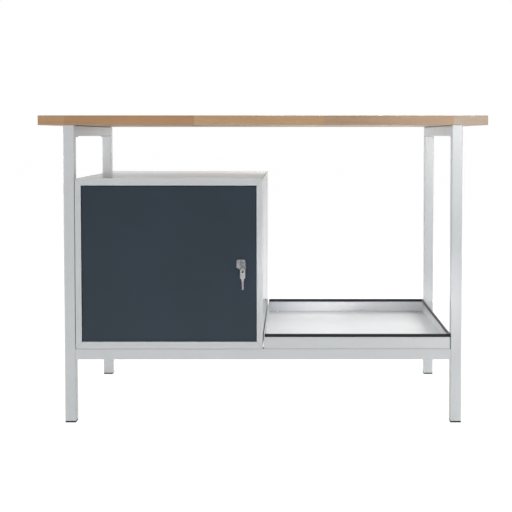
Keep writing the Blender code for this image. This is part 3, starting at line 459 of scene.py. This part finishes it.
def weld_fill(mesh, axis, low, high, middle):
    """Closes the joint between a rail's end and a leg, flush with the tube."""
    outer = rounded_rectangle(TUBE, TUBE, TUBE_CORNER, middle)
    inner = rounded_rectangle(TUBE - 2 * TUBE_WALL, TUBE - 2 * TUBE_WALL, TUBE_CORNER - TUBE_WALL, middle)
    sections = []
    for points, along in ((outer, low), (outer, high), (inner, high), (inner, low)):
        sections.append([(along, a, b) if axis == 0 else (a, along, b) for a, b in points])
    add_loft(mesh, sections, closed=True)


def weld_bead(mesh, start, end, out_a, out_b):
    """A rippled fillet along a corner, between two faces that lie towards out_a and out_b."""
    length = (end - start).length
    count = round(length / BEAD_STEP) * SAMPLES_PER_RIPPLE
    sections = []
    for step in range(count + 1):
        share = step / count
        ripple = 1 + BEAD_RIPPLE * math.cos(2 * math.pi * step / SAMPLES_PER_RIPPLE)
        grown = min(1.0, BEAD_END + BEAD_TAPER * min(share, 1 - share))
        leg = BEAD_LEG * ripple * grown
        here = start.lerp(end, share)
        turns = [math.pi / 2 * k / BEAD_ROUND_STEPS for k in range(BEAD_ROUND_STEPS + 1)]
        arc = [here + (out_a * math.cos(t) + out_b * math.sin(t)) * leg for t in turns]
        sections.append([here] + arc)
    add_loft(mesh, sections)


def build_welds():
    """Welds where the rails meet the legs: ground flush on the sides, left as a bead below."""
    mesh = bmesh.new()
    down = Vector((0, 0, -1))
    rails = (("lower_rail_front", 0), ("lower_rail_rear", 0),
             ("lower_rail_left", 1), ("lower_rail_right", 1),
             ("top_rail_left", 1), ("top_rail_right", 1))
    for node, axis in rails:
        low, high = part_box(node)
        middle = (low + high) / 2
        side = 1 - axis
        for end, way in ((low[axis], -1), (high[axis], 1)):
            leg_face = end + way * GAP
            weld_fill(mesh, axis, end, leg_face, (middle[side], middle.z))
            inward = Vector((0, 0, 0))
            inward[axis] = -way
            first = Vector((0, 0, low.z))
            first[axis] = leg_face
            last = first.copy()
            first[side] = low[side] + BEAD_INSET
            last[side] = high[side] - BEAD_INSET
            weld_bead(mesh, first, last, inward, down)
    new_piece("frame_welds", mesh, "grey_paint", "bench")


# Trim on the tray's edge

def trim_profile(half, height, slot_top):
    """Half the width to each side of the sheet, with a rounded back and small lips."""
    back = []
    for side, start in ((1, 0), (-1, math.pi / 2)):
        for k in range(TRIM_ROUND_STEPS + 1):
            turn = start + math.pi / 2 * k / TRIM_ROUND_STEPS
            back.append((side * (half - TRIM_ROUND) + TRIM_ROUND * math.cos(turn),
                         height - TRIM_ROUND + TRIM_ROUND * math.sin(turn)))
    slot = TRIM_SLOT / 2
    lip = TRIM_LIP
    right = [(slot, slot_top), (slot, lip), (slot + lip, 0.0), (half - lip, 0.0), (half, lip)]
    left = [(-a, b) for a, b in right[::-1]]
    return right + back + left


def build_trim():
    """A push-on profile along the front, right and rear walls, mitred at the corners."""
    low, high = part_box("tray_edge_trim")
    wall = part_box("tray_pan")[1]
    past_wall = (high.x - wall.x + high.y - wall.y) / 2
    sheet = TRIM_SLOT - 2 * TRIM_SEAT
    half = past_wall + sheet / 2
    profile = trim_profile(half, high.z - low.z, wall.z + TRIM_SEAT - low.z)
    front, rear, right = low.y + half, high.y - half, high.x - half
    corners = ((low.x, front, 0, 1), (right, front, -1, 1), (right, rear, -1, -1), (low.x, rear, 0, -1))
    sections = []
    for x, y, to_x, to_y in corners:
        sections.append([(x + to_x * a, y + to_y * a, low.z + b) for a, b in profile])
    mesh = bmesh.new()
    add_loft(mesh, sections)
    new_piece("tray_trim_profile", mesh, "black_plastic", "bench", ["tray_edge_trim"])


# Keys, split ring, collar and plug

def plate(outlines, thickness, edge):
    """A plate with slightly rounded edges, from an outline and its holes."""
    curve = bpy.data.curves.new("plate", "CURVE")
    curve.dimensions = "2D"
    curve.fill_mode = "BOTH"
    curve.extrude = thickness / 2 - edge
    curve.bevel_depth = edge
    curve.bevel_resolution = 1
    curve.offset = -edge
    for points in outlines:
        spline = curve.splines.new("POLY")
        spline.points.add(len(points) - 1)
        for point, (x, y) in zip(spline.points, points):
            point.co = (x, y, 0, 1)
        spline.use_cyclic_u = True
    holder = bpy.data.objects.new("plate", curve)
    bpy.context.scene.collection.objects.link(holder)
    seen = holder.evaluated_get(bpy.context.evaluated_depsgraph_get())
    data = bpy.data.meshes.new_from_object(seen)
    mesh = bmesh.new()
    mesh.from_mesh(data)
    bmesh.ops.remove_doubles(mesh, verts=mesh.verts, dist=SAME_POINT)
    bpy.data.objects.remove(holder, do_unlink=True)
    bpy.data.curves.remove(curve)
    bpy.data.meshes.remove(data)
    return mesh


def cut(mesh, cutter):
    """What is left of a mesh when a cutter is taken out of it."""
    holders = []
    for part in (mesh, cutter):
        bmesh.ops.recalc_face_normals(part, faces=part.faces)
        data = bpy.data.meshes.new("cut")
        part.to_mesh(data)
        part.free()
        holders.append(bpy.data.objects.new("cut", data))
        bpy.context.scene.collection.objects.link(holders[-1])
    difference = holders[0].modifiers.new("cut", "BOOLEAN")
    difference.object = holders[1]
    difference.solver = "EXACT"
    seen = holders[0].evaluated_get(bpy.context.evaluated_depsgraph_get())
    data = bpy.data.meshes.new_from_object(seen)
    left = bmesh.new()
    left.from_mesh(data)
    for used in (data, holders[0].data, holders[1].data):
        bpy.data.meshes.remove(used)
    return left


def groove_cutter():
    """Two milled grooves along the blade, one in each face and each off its middle."""
    cutter = bmesh.new()
    width, floor_width, depth = GROOVE
    face = KEY_THICKNESS / 2
    ends = (-GROOVE_RUN_OUT, KEY_BLADE[0] + GROOVE_RUN_OUT)
    for side in (1, -1):
        section = [(side * (GROOVE_OFF_MIDDLE + y), side * z) for y, z in (
            (-width / 2, face), (-floor_width / 2, face - depth), (floor_width / 2, face - depth),
            (width / 2, face), (width / 2, face + depth), (-width / 2, face + depth))]
        add_loft(cutter, [[(x, y, z) for y, z in section] for x in ends])
    return cutter


def key_outline():
    """The key's outline, anticlockwise from the tip of the blade."""
    bow_length, bow_width, bow_corner = KEY_BOW
    neck_length, neck_width = KEY_NECK
    blade_length, blade_width = KEY_BLADE
    half_bow, half_blade = bow_width / 2, blade_width / 2
    corner = KEY_SHOULDER_CORNER
    cuts = []
    for share, depth in KEY_CUTS[::-1]:
        x = share * blade_length
        run = KEY_CUT_HALF_WIDTH * blade_length
        cuts += [(x + run, half_blade), (x, half_blade - depth * blade_width), (x - run, half_blade)]
    tip = [(blade_length, half_blade - KEY_TIP), (blade_length - KEY_TIP, half_blade)]
    shoulder = [(0.0, half_blade), (-neck_length, neck_width / 2), (-neck_length, half_bow - corner),
                (-neck_length - corner, half_bow)]
    bow_middle = (-neck_length - bow_length + bow_corner, 0.0)
    rounded = rounded_rectangle(2 * bow_corner, bow_width, bow_corner, bow_middle, KEY_BOW_STEPS)
    bow_end = [p for p in rounded if p[0] < bow_middle[0] + corner]
    lower = [(x, -y) for x, y in shoulder[::-1]]
    return tip + cuts + shoulder + bow_end + lower + [(x, -y) for x, y in tip[::-1]]


def build_key(name, to_world, body, node):
    """A flat key, and the raised pads on both faces of its bow."""
    hole = (KEY_HOLE_INSET - KEY_NECK[0] - KEY_BOW[0], 0.0)
    blank = plate([key_outline(), circle(hole, KEY_HOLE_RADIUS)[::-1]], KEY_THICKNESS, KEY_EDGE)
    grooved = cut(blank, groove_cutter())
    grooved.transform(to_world)
    new_piece(name + "_plate", grooved, "nickel", body, [node])
    length, width, corner = PAD
    outline = rounded_rectangle(length, width, corner, (-KEY_NECK[0] - PAD_FROM_NECK, 0.0))
    pads = plate([outline], KEY_THICKNESS + 2 * PAD_PROUD, PAD_PROUD)
    pads.transform(to_world)
    new_piece(name + "_pads", pads, "nickel", body)


def build_ring(centre, radius):
    """Two turns of flat wire side by side, which cross over each other at the start."""
    mesh = bmesh.new()
    section = rounded_rectangle(WIRE_DEPTH, WIRE_WIDTH, WIRE_CORNER, steps=WIRE_CORNER_STEPS)
    sections = []
    span = 4 * math.pi - COIL_CROSSING
    for step in range(COIL_STEPS + 1):
        turn = span * step / COIL_STEPS
        crossing = min(max((turn - 2 * math.pi + COIL_CROSSING) / COIL_CROSSING, 0.0), 1.0)
        along = COIL_SHIFT * (2 * crossing - 1)
        out = Vector((math.sin(turn), 0, math.cos(turn)))
        sections.append([centre + out * (radius + a) + Vector((0, along + b, 0)) for a, b in section])
    add_loft(mesh, sections)
    new_piece("split_ring", mesh, "nickel", "ring", ["key_ring"])


def build_keys():
    plug_low, plug_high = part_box("lock_plug")
    plug = (plug_low + plug_high) / 2
    in_lock = Matrix.Translation((plug.x, plug_low.y - GAP, plug.z)) @ IN_LOCK
    build_key("inserted_key", in_lock, "inserted_key", "key")

    ring_low, ring_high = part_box("key_ring")
    centre = (ring_low + ring_high) / 2
    radius = (ring_high.x - ring_low.x) / 2 - WIRE_RADIUS
    build_ring(centre, radius)

    hole_from_shoulder = KEY_NECK[0] + KEY_BOW[0] - KEY_HOLE_INSET
    hanging = Matrix.Translation(centre - Vector((0, 0, radius))) @ Matrix.Rotation(SPARE_TURN, 4, "Z")
    hanging @= Matrix.Translation((0, 0, -SPARE_HANG - hole_from_shoulder)) @ HANGING
    build_key("hanging_key", hanging, "hanging_key", "spare_key")


def build_collar():
    """A raised collar on the rosette, round the plug."""
    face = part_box("lock_housing")[0].y
    plug_low, plug_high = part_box("lock_plug")
    middle = ((plug_low.x + plug_high.x) / 2, (plug_low.z + plug_high.z) / 2)
    inner, outer = COLLAR
    soft = COLLAR_PROUD / 2
    profile = ((inner, 0.0), (inner, soft), (inner + soft, COLLAR_PROUD),
               (outer - soft, COLLAR_PROUD), (outer, soft), (outer, 0.0))
    sections = []
    for k in range(ROUND_STEPS):
        turn = 2 * math.pi * k / ROUND_STEPS
        sections.append([(middle[0] + r * math.cos(turn), face - proud, middle[1] + r * math.sin(turn))
                         for r, proud in profile])
    mesh = bmesh.new()
    add_loft(mesh, sections, closed=True)
    new_piece("plug_collar", mesh, "chrome", "door")


def build_side_plug():
    """The push-in plug of the cabinet's side, with a domed head."""
    low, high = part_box("side_hole_plug")
    middle = ((low.y + high.y) / 2, (low.z + high.z) / 2)
    side = high.x - PLUG_HEAD
    rings = [(low.x, PLUG_STEM_RADIUS), (side, PLUG_STEM_RADIUS)]
    rings += [(side + proud, radius) for proud, radius in PLUG_DOME]
    mesh = bmesh.new()
    add_loft(mesh, [[(x, y, z) for y, z in circle(middle, radius)] for x, radius in rings])
    new_piece("side_plug_cap", mesh, "grey_plastic", "bench", ["side_hole_plug"])


# Light, floor and camera

def place_lamp(name, data, place, aim, mirrored=True):
    lamp = bpy.data.objects.new(name, data)
    bpy.context.scene.collection.objects.link(lamp)
    lamp.location = place
    lamp.rotation_euler = (Vector(aim) - Vector(place)).to_track_quat("-Z", "Y").to_euler()
    lamp.visible_glossy = mirrored


def area_light(name, place, aim, width, height, power, mirrored, spread=FULL_SPREAD):
    data = bpy.data.lights.new(name, "AREA")
    data.energy = power
    data.spread = math.radians(spread)
    data.shape = "RECTANGLE"
    data.size = width
    data.size_y = height
    data.color = LIGHT_COLOUR
    place_lamp(name, data, place, aim, mirrored)


def spot_light(name, place, aim, angle, power):
    data = bpy.data.lights.new(name, "SPOT")
    data.energy = power
    data.spot_size = math.radians(angle)
    data.spot_blend = 1.0
    data.color = LIGHT_COLOUR
    place_lamp(name, data, place, aim)


def build_world():
    """White to the camera and in reflections, dimmer behind the camera, and a soft light on the bench."""
    world = bpy.data.worlds.new("studio")
    bpy.context.scene.world = world
    world.use_nodes = True
    world.node_tree.nodes.clear()
    nodes = Nodes(world.node_tree)
    towards_rear = nodes.split(nodes.node("TexCoord").outputs["Generated"])[1]
    studio = nodes.ranged(towards_rear, *STUDIO_FALLOFF, BEHIND_CAMERA, 1.0)
    brightness = nodes.math("MAXIMUM", nodes.node("LightPath").outputs["Is Camera Ray"], studio)
    seen = nodes.node("Background", {"Color": WHITE, "Strength": brightness}).outputs[0]
    light = nodes.node("Background", {"Color": WORLD_TINT, "Strength": WORLD_LIGHT}).outputs[0]
    mix = nodes.node("MixShader", {0: nodes.seen_directly(), 1: light, 2: seen}).outputs[0]
    nodes.node("OutputWorld", {0: mix})


def build_floor():
    """A pale floor. Seen directly it is nearly white by itself, and the object's shadow takes the rest."""
    half = FLOOR_HALF
    corners = [(-half, -half, 0), (half, -half, 0), (half, half, 0), (-half, half, 0)]
    data = bpy.data.meshes.new("floor")
    data.from_pydata(corners, [], [(0, 1, 2, 3)])
    floor = bpy.data.objects.new("floor", data)
    bpy.context.scene.collection.objects.link(floor)
    look = bpy.data.materials.new("floor")
    look.use_nodes = True
    look.node_tree.nodes.clear()
    nodes = Nodes(look.node_tree)
    towards_rear = nodes.split(nodes.node("TexCoord").outputs["Object"])[1]
    studio = nodes.ranged(towards_rear, *FLOOR_FALLOFF, BEHIND_CAMERA, 1.0)
    brightness = nodes.math("MAXIMUM", nodes.node("LightPath").outputs["Is Camera Ray"], studio)
    strength = nodes.math("MULTIPLY", brightness, FLOOR_GLOW)
    glow = nodes.node("Emission", {"Color": WHITE, "Strength": strength}).outputs[0]
    shade = nodes.node("BsdfDiffuse", {"Color": FLOOR_SHADE}).outputs[0]
    seen = nodes.node("AddShader", {0: glow, 1: shade}).outputs[0]
    plain = nodes.node("BsdfDiffuse", {"Color": FLOOR_GREY}).outputs[0]
    mix = nodes.node("MixShader", {0: nodes.seen_directly(), 1: plain, 2: seen}).outputs[0]
    nodes.node("OutputMaterial", {0: mix})
    data.materials.append(look)


def build_camera():
    data = bpy.data.cameras.new("camera")
    data.lens = CAMERA_LENS
    data.shift_x, data.shift_y = CAMERA_SHIFT
    data.clip_end = CAMERA_REACH
    camera = bpy.data.objects.new("camera", data)
    bpy.context.scene.collection.objects.link(camera)
    camera.location = CAMERA_PLACE
    camera.rotation_euler = (math.pi / 2 - CAMERA_PITCH, 0, 0)
    bpy.context.scene.camera = camera


dress_parts()
build_welds()
build_trim()
build_keys()
build_collar()
build_side_plug()
build_world()
build_floor()
for lamp_name, lamp_setting in AREA_LIGHTS.items():
    area_light(lamp_name, *lamp_setting)
spot_light("side_spot", *SIDE_SPOT)
build_camera()
bpy.context.scene.view_settings.view_transform = "Standard"
